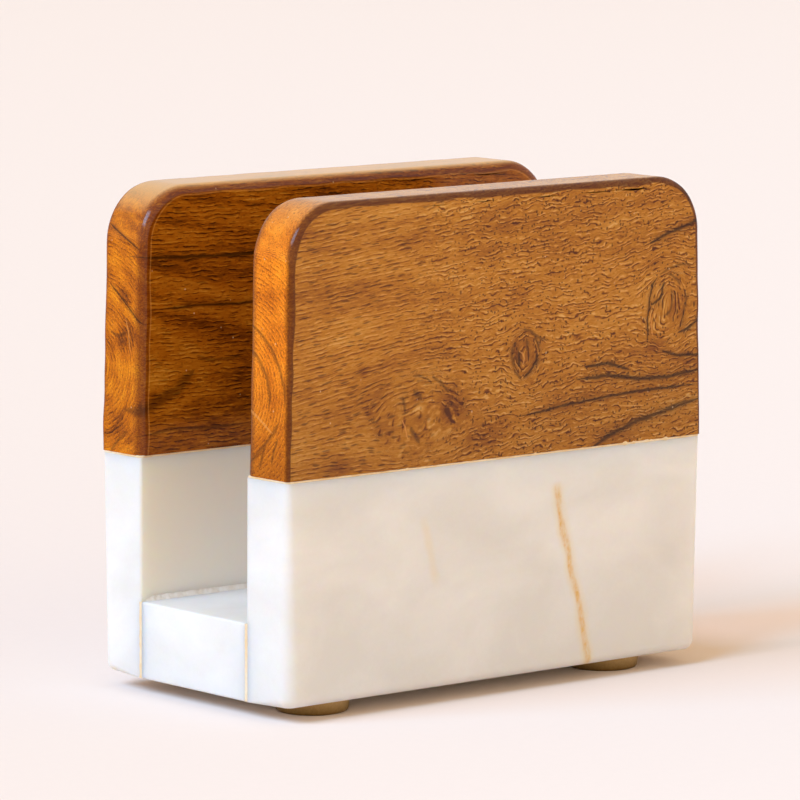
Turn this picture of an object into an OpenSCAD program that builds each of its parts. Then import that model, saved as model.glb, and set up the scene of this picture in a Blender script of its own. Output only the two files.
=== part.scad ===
// Napkin holder: two marble slabs with wood panels on top, tied by a marble floor block.
// X runs along the slabs and Y across the slot. Z is up from the table, and the origin is on the
// table under the middle of the body.

/* [Body] */
// Length of the slabs, the panels and the floor block
body_l = 140; // [120:1:170]
// Width over both slabs
body_w = 74.5; // [66:0.5:100]
// Height from the table to the top of the panels
body_h = 129.5; // [110:0.5:150]
// Thickness of the slabs and the panels
slab_t = 16; // [13:0.5:20]

/* [Marble] */
// Height of the joint between marble and wood above the table
joint_z = 61; // [50:0.5:70]
// Height of the slot's floor above the table
floor_z = 24; // [16:0.5:32]
// Radius of a slab's upright outer edges at the joint
slab_edge_top = 1.8; // [1:0.1:3]
// Radius of a slab's upright outer edges at the bottom
slab_edge_foot = 3.8; // [2.6:0.1:5]
// Radius that eases a slab's bottom outer edges
slab_edge_under = 2.4; // [1:0.1:2.5]
// Radius of a slab's upright edges beside the slot
slab_edge_slot = 0.8; // [0.4:0.1:1.5]
// Chamfer on the floor block's end edges
floor_chamfer = 0.5; // [0.2:0.1:1]

/* [Wood] */
// Radius of a panel's two top corners
corner_r = 14.7; // [6:0.1:24]
// How far each end of a panel leans in on its way up
end_lean = 1; // [0:0.1:3]
// Radius that eases a panel's outer edge round its top
panel_edge_top = 1.7; // [1:0.1:3]
// Radius of a panel's upright outer edges at the joint
panel_edge_joint = 0.9; // [0.5:0.1:2]
// Radius that eases a panel's edge beside the slot
panel_edge_slot = 2.3; // [1:0.1:3]

/* [Feet] */
// Diameter of a foot pad
foot_d = 19.2; // [14:0.2:24]
// Height of a foot pad and the adhesive over it
foot_h = 4.2; // [2.5:0.1:6]
// Radius of a foot pad's lower rim
foot_rim = 1; // [0.4:0.1:1.4]
// Distance from a front pad's centre to the end of the slab
foot_from_end = 20.5; // [14:0.5:30]
// Distance from a back pad's centre to the end of the slab
back_foot_from_end = 33; // [24:0.5:44]
// Distance from a pad's centre to the outer face of the slab
foot_from_face = 15; // [12.5:0.5:20]
// Thickness of the adhesive disc over a foot pad
foot_glue_t = 0.3; // [0.2:0.1:0.5]

/* [Joints] */
// Thickness of the adhesive layers between the pieces
glue_t = 0.5; // [0.3:0.1:0.8]
// Distance that the adhesive layers stay back from the faces
glue_inset = 0.1; // [0:0.05:0.4]
// Height of the adhesive beads in the inside corners of the slot
bead_h = 1.3; // [0.6:0.1:2.5]
// Diameter of the dowels
dowel_d = 6; // [4:0.5:8]
// Length of the dowels
dowel_l = 30; // [20:1:36]
// Distance between the two dowels of a wall
dowel_gap = 84; // [50:1:90]
// Clearance between a dowel and its bore, on the radius
dowel_fit = 0.1; // [0.05:0.05:0.2]
// Room between a dowel's end and the bottom of its bore
dowel_end_room = 0.3; // [0.2:0.1:1]

/* [Hidden] */
half_l = body_l / 2;
half_w = body_w / 2;
slot_half = half_w - slab_t;
slab_top = joint_z - glue_t / 2;
panel_foot = joint_z + glue_t / 2;
floor_h = floor_z - foot_h;
floor_half = slot_half - glue_t;
post_h = 0.4;
bore_r = dowel_d / 2 + dowel_fit;
bore_reach = dowel_l / 2 + dowel_end_room;
dowel_chamfer = dowel_d / 8;
marble_white = [0.94, 0.93, 0.91];
wood_brown = [0.62, 0.36, 0.15];
glue_cream = [0.93, 0.82, 0.66];
pad_olive = [0.46, 0.38, 0.2];
dowel_beech = [0.83, 0.68, 0.48];

// Points of an arc about c from angle a0 to a1
function arc(c, r, a0, a1, steps = 6) =
    [for (i = [0:steps]) let (a = a0 + (a1 - a0) * i / steps) c + r * [cos(a), sin(a)]];

// Mirrors the front wall's pieces to the back
module wall(front) {
    if (front) children();
    else mirror([0, 1, 0]) children();
}

// Disc standing on edge along Y, with its -Y rim rounded by near_edge and its +Y rim by far_edge
module eased_disc(r, t, near_edge, far_edge) {
    rotate([90, 0, 0])
        rotate_extrude($fn = 64)
            polygon(concat(
                [[0, -t / 2]],
                arc([r - far_edge, -t / 2 + far_edge], far_edge, -90, 0),
                arc([r - near_edge, t / 2 - near_edge], near_edge, 0, 90),
                [[0, t / 2]]
            ));
}

// Short disc lying flat, with its lower rim rounded
module bowl(r, edge) {
    rotate_extrude($fn = 48)
        polygon(concat([[0, 0]], arc([r - edge, edge], edge, -90, 0), [[0, edge]]));
}

// Two upright posts that give a slab or a panel its edges at one face
module edge_posts(r, face_y, side, z, h) {
    for (end = [-1, 1])
        translate([end * (half_l - r), face_y + side * r, z])
            cylinder(r = r, h = h, $fn = 32);
}

// Bores for the dowels of the front wall, both ways from the joint
module dowel_bores() {
    for (end = [-1, 1])
        translate([end * dowel_gap / 2, -half_w + slab_t / 2, joint_z - bore_reach])
            cylinder(r = bore_r, h = 2 * bore_reach, $fn = 48);
}

// Marble slab, with outer edges that grow rounder downwards and an eased bottom
module marble_slab(front) {
    color(marble_white)
        wall(front)
            difference() {
                hull() {
                    edge_posts(slab_edge_top, -half_w, 1, slab_top - post_h, post_h);
                    edge_posts(slab_edge_slot, -slot_half, -1, foot_h, slab_top - foot_h);
                    for (end = [-1, 1])
                        translate([end * (half_l - slab_edge_foot), -half_w + slab_edge_foot, foot_h])
                            bowl(slab_edge_foot, slab_edge_under);
                }
                dowel_bores();
            }
}

// Wood panel, with rounded top corners, ends that lean in and edges eased all round
module wood_panel(front) {
    color(wood_brown)
        wall(front)
            difference() {
                hull() {
                    edge_posts(panel_edge_joint, -half_w, 1, panel_foot, post_h);
                    edge_posts(panel_edge_slot, -slot_half, -1, panel_foot, post_h);
                    for (end = [-1, 1])
                        translate([
                            end * (half_l - end_lean - corner_r),
                            -half_w + slab_t / 2,
                            body_h - corner_r
                        ])
                            eased_disc(corner_r, slab_t, panel_edge_top, panel_edge_slot);
                }
                dowel_bores();
            }
}

// Marble block that ties the slabs and is the floor of the slot
module floor_block() {
    c = floor_chamfer;
    color(marble_white)
        translate([0, floor_half, foot_h])
            rotate([90, 0, 0])
                linear_extrude(2 * floor_half)
                    polygon([
                        [-half_l + c, 0], [half_l - c, 0], [half_l, c], [half_l, floor_h - c],
                        [half_l - c, floor_h], [-half_l + c, floor_h], [-half_l, floor_h - c], [-half_l, c]
                    ]);
}

// Adhesive layer between a slab and its panel, with holes for the dowels
module panel_joint(front) {
    r = slab_edge_top;
    x = half_l - glue_inset - r;
    y0 = -half_w + glue_inset + r;
    y1 = -slot_half - glue_inset - r;
    color(glue_cream)
        wall(front)
            translate([0, 0, slab_top])
                linear_extrude(glue_t)
                    difference() {
                        polygon(concat(
                            arc([x, y0], r, -90, 0),
                            arc([x, y1], r, 0, 90),
                            arc([-x, y1], r, 90, 180),
                            arc([-x, y0], r, 180, 270)
                        ));
                        for (end = [-1, 1])
                            translate([end * dowel_gap / 2, -half_w + slab_t / 2])
                                circle(r = bore_r, $fn = 48);
                    }
}

// Adhesive layer between the floor block and a slab
module floor_joint(front) {
    l = body_l - 2 * glue_inset;
    color(glue_cream)
        wall(front)
            translate([-l / 2, -slot_half, foot_h + glue_inset])
                cube([l, glue_t, floor_h - 2 * glue_inset]);
}

// Bead of adhesive along an inside corner of the slot floor
module floor_bead(front) {
    l = body_l - 2 * bead_h;
    waist = 0.36 * bead_h;
    color(glue_cream)
        wall(front)
            translate([-l / 2, -slot_half, floor_z])
                rotate([90, 0, 90])
                    linear_extrude(l)
                        polygon([[0, 0], [bead_h, 0], [waist, waist], [0, bead_h]]);
}

// Moves a foot's pieces under one corner of the body
module at_foot(side_x, side_y) {
    from_end = side_y < 0 ? foot_from_end : back_foot_from_end;
    translate([side_x * (half_l - from_end), side_y * (half_w - foot_from_face), 0])
        children();
}

// Round foot pad with a rounded lower rim
module foot(side_x, side_y) {
    r = foot_d / 2;
    top = foot_h - foot_glue_t;
    color(pad_olive)
        at_foot(side_x, side_y)
            rotate_extrude($fn = 64)
                polygon(concat([[0, 0]], arc([r - foot_rim, foot_rim], foot_rim, -90, 0), [[r, top], [0, top]]));
}

// Adhesive disc between a foot pad and the marble
module foot_glue(side_x, side_y) {
    color(glue_cream)
        at_foot(side_x, side_y)
            translate([0, 0, foot_h - foot_glue_t])
                cylinder(d = foot_d - 1, h = foot_glue_t, $fn = 64);
}

// Dowel with chamfered ends, centred on the joint
module dowel(side_x, side_y) {
    r = dowel_d / 2;
    c = dowel_chamfer;
    color(dowel_beech)
        translate([side_x * dowel_gap / 2, side_y * (half_w - slab_t / 2), joint_z - dowel_l / 2])
            rotate_extrude($fn = 48)
                polygon([[0, 0], [r - c, 0], [r, c], [r, dowel_l - c], [r - c, dowel_l], [0, dowel_l]]);
}

marble_slab(true);  // front_marble_slab
marble_slab(false);  // back_marble_slab
floor_block();
wood_panel(true);  // front_wood_panel
wood_panel(false);  // back_wood_panel
panel_joint(true);  // panel_joint_front
panel_joint(false);  // panel_joint_back
floor_joint(true);  // floor_joint_front
floor_joint(false);  // floor_joint_back
floor_bead(true);  // floor_bead_front
floor_bead(false);  // floor_bead_back
foot(-1, -1);  // foot_front_left
foot(1, -1);  // foot_front_right
foot(-1, 1);  // foot_back_left
foot(1, 1);  // foot_back_right
foot_glue(-1, -1);  // foot_glue_front_left
foot_glue(1, -1);  // foot_glue_front_right
foot_glue(-1, 1);  // foot_glue_back_left
foot_glue(1, 1);  // foot_glue_back_right
dowel(-1, -1);  // dowel_front_left
dowel(1, -1);  // dowel_front_right
dowel(-1, 1);  // dowel_back_left
dowel(1, 1);  // dowel_back_right
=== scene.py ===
"""Dresses a napkin holder: two marble slabs with wood panels on top, tied by a marble floor block.

Lengths in the shape functions and in the patterns of the materials are in millimetres. X runs along
the slabs and Y across the slot, and Z is up from the table.
"""

import math
from functools import partial

import bmesh
import bpy
import numpy as np
from bpy.props import FloatProperty, FloatVectorProperty, IntProperty, PointerProperty
from mathutils import Matrix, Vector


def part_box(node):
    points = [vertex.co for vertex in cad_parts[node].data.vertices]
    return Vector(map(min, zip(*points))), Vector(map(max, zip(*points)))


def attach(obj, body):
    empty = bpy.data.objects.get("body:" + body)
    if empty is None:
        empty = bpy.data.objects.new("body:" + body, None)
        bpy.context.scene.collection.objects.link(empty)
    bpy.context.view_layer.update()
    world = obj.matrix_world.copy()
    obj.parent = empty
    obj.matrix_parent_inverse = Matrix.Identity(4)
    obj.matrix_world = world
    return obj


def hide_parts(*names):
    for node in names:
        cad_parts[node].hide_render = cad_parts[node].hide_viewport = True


bl_info = {
    "name": "Napkin holder",
    "version": (1, 0, 0),
    "blender": (4, 5, 0),
    "location": "3D View > Sidebar > Napkin holder",
    "description": "Makes the marble, wood, adhesive and rubber pieces of a napkin holder",
    "category": "Add Mesh",
}

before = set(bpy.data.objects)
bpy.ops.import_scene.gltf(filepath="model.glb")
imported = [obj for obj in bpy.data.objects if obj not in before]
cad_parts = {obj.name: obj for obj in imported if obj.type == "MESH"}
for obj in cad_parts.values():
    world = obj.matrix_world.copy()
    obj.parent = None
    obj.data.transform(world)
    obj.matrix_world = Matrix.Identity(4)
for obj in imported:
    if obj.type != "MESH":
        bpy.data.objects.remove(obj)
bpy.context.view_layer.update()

MM = 0.001
SMOOTH_BELOW = math.radians(32)
# Sockets of a Mix node: its two numbers, its two colours and its mixed colour
NUMBER_A, NUMBER_B = 2, 3
COLOUR_A, COLOUR_B = 6, 7
COLOUR_OUT = 2

# Camera: lens and sensor in mm, place in metres, and its turn from +Y towards +X, its tilt down and its
# roll in degrees
LENS, SENSOR = 254.9, 36
CAMERA_PLACE = (-0.94529, -1.0989, 0.26387)
CAMERA_ANGLES = (40.653, 7.538, 0.265)
# Metres: distance of the lamps, and half the side of the floor
LAMP_DISTANCE = 20
FLOOR_HALF = 8.0

# The tree that each panel was sawn from, with X and Z as places on the panel's face. The pith is the
# middle of the growth rings, and pith_drift is how far it moves back for each mm along X. figure is
# where the grain turns from plain to curly along X, and how curly it is on both sides. A knot is its
# outline, how hard it presses the fibres aside, and its strength. A stroke is a dark line: channel,
# widest half width, path. Strokes that pass close to each other have their own channels: the first
# STRONG_CHANNELS are cracks, the next are faint, and those of LIGHT_CHANNEL are pale. End strokes have
# places in Y and Z on the left end. A stain is (x, z, half width, half height, darkness), and a
# darkness below zero makes a light patch.
STRONG_CHANNELS = 4
LIGHT_CHANNEL = 8
FRONT_LOG = {
    "seed": 3.0,
    "rise": 0.08,
    "pith_y": -18.0,
    "pith_z": 87.4,
    "pith_drift": 0.0,
    "figure": (-42, -4, 0.15, 1.0),
    "knots": [
        (
            [(-27.9, 84.6), (-20, 83.6), (-15.7, 82), (-12.6, 76.3), (-15.6, 70.3), (-21.7, 67.7),
             (-29.8, 63), (-35.9, 65.1), (-40.9, 70.9), (-42.9, 77.3), (-39, 82.3)],
            0.6, 0.35,
        ),
        (
            [(7.9, 92.8), (11, 91.6), (12.9, 88.3), (12.4, 85.1), (10.6, 82.8), (7, 80.9), (4, 84.4),
             (3.7, 88.2), (5.3, 91.4)],
            0.85, 0.9,
        ),
        (
            [(57.8, 104.8), (62.2, 103.3), (64.5, 100.3), (64.2, 93.8), (62.5, 89.2), (57, 86.9),
             (51.1, 88.3), (50.9, 94.9), (51.9, 99.7), (54.6, 103.5)],
            0.9, 0.8,
        ),
    ],
    "strokes": [
        (0, 0.75, [(30, 60.2), (32.5, 61.4), (36.8, 63.4), (46.4, 66.4), (56.2, 68.3), (62.7, 69.6),
                   (71, 71)]),
        (1, 0.4, [(5, 71), (13.4, 71.8), (20.7, 72.7), (29.2, 73.3), (37, 73.8), (48.4, 74.4),
                  (69, 74.6)]),
        (2, 0.6, [(25, 79), (36.6, 79.3), (47.4, 77.6), (56.1, 77.3), (71, 78.4)]),
        (3, 0.5, [(50, 112), (57.7, 114.8), (62, 115.8), (71, 118.4)]),
        (3, 0.45, [(28, 82), (36.6, 82.5), (45, 80)]),
        (3, 0.4, [(55, 84.4), (61.4, 82.6), (71, 82.4)]),
        (0, 0.4, [(61.1, 88.4), (65.1, 89.4), (67.7, 91.1), (71, 92.5)]),
        (1, 0.3, [(54.6, 104), (52.3, 101.9), (51.3, 98.2), (51, 95.7), (50.5, 92.8), (50.8, 89.8),
                  (50.3, 86.1)]),
        (2, 0.4, [(56.9, 102.8), (55.8, 100.8), (55.2, 98.1), (53.2, 97), (51.3, 96.1)]),
        (4, 0.35, [(54.6, 104), (58, 105.5), (61.4, 106.3), (64.3, 106.3), (66.3, 105.3)]),
        (5, 0.35, [(56.6, 104.2), (59.2, 103.7), (61.2, 102.1), (62.4, 100.5)]),
        (6, 0.35, [(58.6, 100.6), (59.5, 98), (58.7, 94.7), (55.9, 92.6)]),
        (7, 0.4, [(63.5, 100.2), (64.4, 97.2), (63.3, 93.9), (63.1, 91.4), (61.1, 88.6)]),
        (8, 0.3, [(51.6, 94.8), (51.9, 91), (52.5, 88)]),
        (0, 0.4, [(12.8, 87.1), (12, 85.2), (10.7, 83.3), (8.5, 81.5), (6.9, 80.6)]),
        (1, 0.5, [(6.2, 88.6), (5.9, 86), (6.3, 83.4)]),
        (2, 0.55, [(12.5, 87.2), (12.1, 85.2), (11.4, 83.6)]),
        (4, 0.4, [(6.9, 93.3), (9.7, 92.9), (11, 91.9), (13.7, 90.5), (16.3, 89.8)]),
        (5, 0.45, [(5.7, 90.9), (4.4, 89.4), (3.7, 87.8), (4, 85.1), (5.1, 83.1)]),
        (6, 0.5, [(8.5, 91.2), (8.9, 89), (8.7, 87.2)]),
        (7, 0.4, [(11, 91.9), (12.6, 89.4), (12.8, 87.1)]),
        (7, 0.4, [(6.9, 80.6), (4.9, 82.8), (4.1, 83.8)]),
        (8, 0.28, [(5.7, 88), (7.4, 87.2), (7.9, 85.8), (7, 83.6)]),
        (4, 0.3, [(-30.3, 84.3), (-27.5, 84.4), (-24.6, 83.3), (-22.7, 81.6)]),
        (5, 0.4, [(-23.6, 84.1), (-19.8, 81.8), (-17.3, 79)]),
        (6, 0.4, [(-34.6, 79), (-32.7, 79.2), (-32, 76.6), (-32, 74.7)]),
        (7, 0.8, [(-29.4, 81), (-28.2, 79.7), (-26, 78.2)]),
        (7, 0.6, [(-30.2, 72), (-29.3, 70.1), (-26.9, 67)]),
        (8, 0.28, [(-33.1, 74.1), (-31.7, 71.1), (-31, 68.1)]),
    ],
    "end_strokes": [
        (4, 0.5, [(-21, 99.6), (-25.5, 97.4), (-30.5, 93.4), (-33.6, 89), (-35.6, 84), (-36, 79)]),
        (5, 0.6, [(-20.6, 93.6), (-25, 91), (-28.6, 86.6), (-30, 82), (-29.6, 78)]),
        (6, 0.5, [(-34, 76), (-31.3, 72.6), (-27, 68.4), (-22.2, 64.2)]),
        (7, 0.45, [(-29, 70.8), (-27.4, 67), (-26.4, 63)]),
        (4, 0.4, [(-33.4, 72), (-31.6, 67.6), (-31, 64.6)]),
        (8, 0.4, [(-21.4, 78.2), (-26, 75.8), (-31.6, 72.4)]),
    ],
    "stains": [
        (-16.8, 76.8, 3.8, 6.2, 1.0), (-27.6, 79.6, 2.2, 2.2, 0.6), (-41, 77.5, 1.8, 4, 0.4),
        (-37.4, 69.7, 3.6, 2.8, 0.6), (-28.6, 69, 2.6, 2.6, 0.4), (-27.4, 76, 1.6, 1.2, -1.7),
        (-5, 66.8, 7, 2.8, 0.8), (26.5, 90, 1.3, 0.9, 1.6), (-45.3, 86.7, 1.5, 0.9, 1.2),
        (-44.1, 76.1, 1.5, 1.6, 1.0), (-53.9, 63.6, 3, 1.6, 0.9), (-2, 118, 7, 8, 0.3),
        (40, 80.4, 15, 2.2, 0.5), (64, 81.5, 7, 3, 0.6), (61.3, 96.2, 2, 4.6, 0.5),
        (64.8, 103, 1.1, 2, 0.7), (53.5, 85.4, 3, 1.9, 0.8), (5, 101, 4, 4, 0.3),
        (4.9, 88.6, 1.4, 2.4, 0.6), (66.5, 126.5, 5, 4, 1.2), (-56, 96, 14, 10, -0.2),
        (-8, 104, 16, 9, -0.25), (6, 121, 16, 6, 0.2), (-55, 77, 9, 10, 0.28),
    ],
}
BACK_LOG = {
    "seed": 11.0,
    "rise": -0.02,
    "pith_y": 49.8,
    "pith_z": 81.5,
    "pith_drift": 0.14,
    "figure": (-60, 0, 0.35, 0.5),
    "knots": [],
    "strokes": [
        (0, 0.5, [(-71, 111.8), (-55, 111), (-35, 110.5), (-20, 111.4)]),
        (1, 0.4, [(-64, 98.2), (-50, 98.5), (-38, 98), (-28, 98.2)]),
        (4, 0.4, [(-52, 84.6), (-44, 84), (-36, 84.3)]),
        (5, 1.5, [(-74, 70.8), (-66, 74), (-58, 77.6), (-52, 82.4)]),
        (6, 0.4, [(-71, 66), (-60, 67.4), (-46, 66.6), (-34, 67)]),
    ],
    "end_strokes": [
        (0, 0.26, [(36, 119.4), (28, 116), (22.4, 113.4)]),
        (1, 0.28, [(35, 104.4), (30, 101), (26, 98), (21.2, 94.2)]),
        (6, 0.4, [(26, 67.6), (30, 64.8), (34, 61)]),
        (5, 0.4, [(34.6, 92), (31, 91), (27, 92.4)]),
        (8, 0.2, [(28.2, 96.4), (26.8, 92.4), (26, 87)]),
    ],
    "stains": [
        (-57, 72.5, 12, 3.2, 0.5), (-42, 66, 10, 3, 0.3), (-52, 93, 14, 2.5, 0.4),
        (-38, 79, 9, 6, 0.4), (-62, 82, 6, 3.4, -0.7), (-56, 86, 8, 2.2, -0.4),
    ],
}
# How deep strokes reach into the wood from the face that they are drawn on
STROKE_DEPTH = 8
# Blobs of adhesive on the outer side of a wall's joint: place along X, half width, height
PANEL_JOINT_BLOBS = [
    (43, 0.9, 1.0), (46.2, 0.6, 0.6), (50.5, 1.4, 0.7), (57.5, 1.0, 0.9), (12, 0.6, 0.5),
    (-31, 0.7, 0.4),
]
# Middle line of the orange vein on the front slab, from the joint down
VEIN_PATH = [
    (19.6, 54.4), (20, 47.9), (21.5, 41.5), (24, 33.7), (25.1, 28.4), (27.6, 20.6), (28.8, 14.2), (31, 4),
]

# Colours and strengths of the woods and the marble
FRONT_TONES = {
    "ramp": ("#602f0a", "#965716", "#be7b22", "#d49640", "#e4b064"),
    "band_contrast": 0.38,
    "pore": "#4a2608",
    "split": "#2e1804",
    "halo": "#5c3006",
    "face_foot": 0.86,
    # Orange tint of the end grain, partly painted light that brightens the ends
    "end_tint_and_light": (1.6, 1.1, 0.27),
    "end_foot": 0.58,
    "edge": "#5a2604",
    "edge_strength": 0.95,
    "edge_streak": 0.8,
    "pale_tone": "#e8a050",
    # Colour of the pale specks: dust, and painted glints
    "dust": "#f0cc98",
    # Colour and strength of a painted reflection of the backdrop on the tops
    "top": "#f0c486",
    "top_sheen_strength": 0.06,
}
BACK_TONES = {
    **FRONT_TONES,
    "ramp": ("#3a1a04", "#743a06", "#a65c0c", "#bc741a", "#d08e30"),
    "band_contrast": 1.0,
    "face_foot": 1.0,
    # Orange tint of the end grain, partly painted light that brightens the ends
    "end_tint_and_light": (1.54, 1.38, 0.3),
    "end_foot": 0.92,
    "edge": "#6c2a02",
    "edge_streak": 0.5,
    # A stronger painted reflection on the back panel's top
    "top_sheen_strength": 0.62,
}
# The third colour is painted light: a warm cream for the back slab's slot side, as if lit by light bounced from
# the wood
STONE, CLOUD, SLOT_WARM_LIGHT = "#f8f8f9", "#eae9e8", "#f5f0e4"
VEIN_HALO, VEIN = "#f2d8a4", "#e6b85a"


def linear(code):
    """Linear colour of an sRGB hex code: c / 12.92 up to 0.04045, else ((c + 0.055) / 1.055) ** 2.4."""
    srgb = [int(code[i : i + 2], 16) / 255 for i in (1, 3, 5)]
    return tuple(c / 12.92 if c <= 0.04045 else ((c + 0.055) / 1.055) ** 2.4 for c in srgb)


def corners(name):
    """Lowest and highest corner of a CAD node, in mm."""
    low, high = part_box(name)
    return np.array(low) / MM, np.array(high) / MM


def on_wall(name, surface, *settings):
    """What a shape function gives for the box of a CAD node of either wall.

    The function works on the front wall. For a node of the back wall the box is mirrored in Y before
    it, and its points after it.
    """
    low, high = corners(name)
    flip = np.array([1, -1 if low[1] + high[1] > 0 else 1, 1])
    low, high = np.sort([low * flip, high * flip], axis=0)
    points, *others = surface(low, high, *settings)
    return points * flip, *others


def wobble(turn, waves, seed):
    """Even noise of about -1 to 1: a sum of sines of whole numbers of waves a turn, in random phase."""
    dice = np.random.default_rng(seed)
    counts = dice.integers(max(1, waves // 3), waves + 1, 9)
    phases = dice.uniform(0, 2 * math.pi, 9)
    return np.sin(2 * math.pi * np.multiply.outer(turn, counts) + phases).sum(-1) / 3


def rounded_plan(half_x, low, high, r_low, r_high, steps, support):
    """Corners of a rectangle rounded by r_low at its low side and r_high at its high side.

    A corner is its centre plus r times (cos a, sin a) over a quarter turn, with one more point at a
    distance of support before and after it. Gives points (rings, columns, 2), the outward normals
    (columns, 2), and a column mask of the low side. r_low and r_high may be columns of radii.
    """
    turn = np.concatenate([[0], np.linspace(0, 90, steps + 1), [90]])
    shift = np.concatenate([[-support], np.zeros(steps + 1), [support]])
    angle = np.radians(np.concatenate([turn + start for start in (180, 270, 0, 90)]))
    shift = np.tile(shift, 4)
    each = len(turn)
    side_x = np.repeat([-1, 1, 1, -1], each)
    is_low = np.repeat([True, True, False, False], each)
    radius = np.where(is_low, r_low, r_high)
    centre_x = side_x * (half_x - radius)
    centre_y = np.where(is_low, low + radius, high - radius)
    normal = np.stack([np.cos(angle), np.sin(angle)], -1)
    tangent = np.stack([-np.sin(angle), np.cos(angle)], -1)
    points = np.stack([centre_x, centre_y], -1) + radius[..., None] * normal + shift[:, None] * tangent
    return points, normal, is_low


def even_loop(points, count):
    """A closed outline cut again into even steps. Gives the points and their outward normals."""
    closed = np.vstack([points, points[:1]])
    length = np.concatenate([[0], np.cumsum(np.hypot(*np.diff(closed, axis=0).T))])
    at = np.linspace(0, length[-1], count, endpoint=False)
    even = np.stack([np.interp(at, length, closed[:, i]) for i in (0, 1)], -1)
    along = np.roll(even, -1, 0) - np.roll(even, 1, 0)
    along /= np.hypot(*along.T)[:, None]
    return even, np.stack([along[:, 1], -along[:, 0]], -1)


def quads(index):
    """A quad between each four neighbours of a grid of point numbers."""
    return np.stack([index[:-1, :-1], index[:-1, 1:], index[1:, 1:], index[1:, :-1]], -1).reshape(-1, 4)


def skin(points):
    """Points of a stack of closed rings, and their faces: the quads between them and a cap at each end."""
    rings, columns = points.shape[:2]
    index = np.arange(rings * columns).reshape(rings, columns)
    walls = quads(np.hstack([index, index[:, :1]]))
    return points, walls.tolist() + [index[0, ::-1].tolist(), index[-1].tolist()]


def make_piece(cad_node, points, faces, material, fields=None):
    """Makes a closed mesh of points in mm that rides on the body and stands for a CAD node."""
    name = f"{cad_node}_smooth"
    mesh = bpy.data.meshes.new(name)
    mesh.from_pydata((points.reshape(-1, 3) * MM).tolist(), [], faces)
    for field, values in (fields or {}).items():
        kind, part = ("FLOAT_VECTOR", "vector") if values.ndim == 2 else ("FLOAT", "value")
        attribute = mesh.attributes.new(field, kind, "POINT")
        attribute.data.foreach_set(part, values.astype(np.float32).ravel())
    shell = bmesh.new()
    shell.from_mesh(mesh)
    bmesh.ops.recalc_face_normals(shell, faces=shell.faces)
    shell.to_mesh(mesh)
    shell.free()
    mesh.shade_smooth()
    mesh.set_sharp_from_angle(angle=SMOOTH_BELOW)
    mesh.materials.append(material)
    piece = bpy.data.objects.new(name, mesh)
    bpy.context.scene.collection.objects.link(piece)
    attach(piece, "root")
    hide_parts(cad_node)


# ---------------------------------------------------------------- nodes


def add_node(tree, kind, *values, out=0, **settings):
    """Adds a node with its settings, sets or links its inputs, and gives one of its outputs.

    kind may end in a dot and the node's operation. values fill the inputs in order, and a dict among
    them fills the inputs that it names.
    """
    kind, _, operation = kind.partition(".")
    if operation:
        settings["operation"] = operation
    made = tree.nodes.new("ShaderNode" + kind)
    for key, value in settings.items():
        setattr(made, key, value)
    inputs = {}
    for place, value in enumerate(values):
        inputs.update(value if isinstance(value, dict) else {place: value})
    for key, value in inputs.items():
        if isinstance(value, bpy.types.NodeSocket):
            tree.links.new(value, made.inputs[key])
        else:
            made.inputs[key].default_value = value
    return made.outputs[out] if made.outputs else made


def new_material(name):
    """A new material with no nodes, and the function that adds its nodes."""
    material = bpy.data.materials.new(name)
    material.use_nodes = True
    material.node_tree.nodes.clear()
    return material, partial(add_node, material.node_tree)


def place_in_mm(add):
    """Object coordinates in mm."""
    return add("VectorMath.MULTIPLY", add("TexCoord", out="Object"), (1 / MM,) * 3)


def pattern(add, place, size, kind="TexNoise", out=0, **inputs):
    """A texture over a place in mm, with cells that are size mm long along X, Y and Z."""
    stretched = add("VectorMath.MULTIPLY", place, tuple(1 / length for length in size))
    return add(kind, {"Vector": stretched, "Scale": 1, **inputs}, out=out)


def ridge(add, value, middle, foot, crest, most=1.0):
    """A mask beside a line: most up to crest from the middle, and nothing past foot from it."""
    off = add("Math.ABSOLUTE", add("Math.SUBTRACT", value, middle))
    return add("MapRange", off, foot, crest, 0, most)


def layered(add, colour, *layers):
    """A colour with others laid over it in turn, each of them a mask and a colour or hex code."""
    for mask, tint in layers:
        under, over = ((*linear(c), 1) if isinstance(c, str) else c for c in (colour, tint))
        colour = add("Mix", mask, {COLOUR_A: under, COLOUR_B: over}, out=COLOUR_OUT, data_type="RGBA")
    return colour


def finish_material(add, colour, height, strength, depth, shader):
    """Ends a material with a Principled shader and a bump, whose depth is in mm."""
    relief = add("Bump", {"Height": height, "Strength": strength, "Distance": depth * MM}, out="Normal")
    surface = add("BsdfPrincipled", {"Base Color": colour, "Normal": relief, **shader})
    add("OutputMaterial", {"Surface": surface})


# ---------------------------------------------------------------- wood


def path_distance(a, b, path):
    """Distance of each point (a, b) from a path of straight pieces, below zero on the path's right.

    Also gives how far along the path its nearest place lies, from 0 to 1.
    """
    path = np.array(path, float)
    step = np.diff(path, axis=0)
    length = np.hypot(*step.T)
    from_a = a[:, None] - path[:-1, 0]
    from_b = b[:, None] - path[:-1, 1]
    at = np.clip((from_a * step[:, 0] + from_b * step[:, 1]) / length**2, 0, 1)
    off_a = from_a - at * step[:, 0]
    off_b = from_b - at * step[:, 1]
    gap = np.hypot(off_a, off_b)
    best = gap.argmin(1)
    row = np.arange(len(a))
    side = step[best, 0] * off_b[row, best] - step[best, 1] * off_a[row, best]
    before = np.concatenate([[0], np.cumsum(length)])
    reach = (before[best] + at[row, best] * length[best]) / before[-1]
    return np.where(side < 0, -1, 1) * gap[row, best], reach


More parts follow.
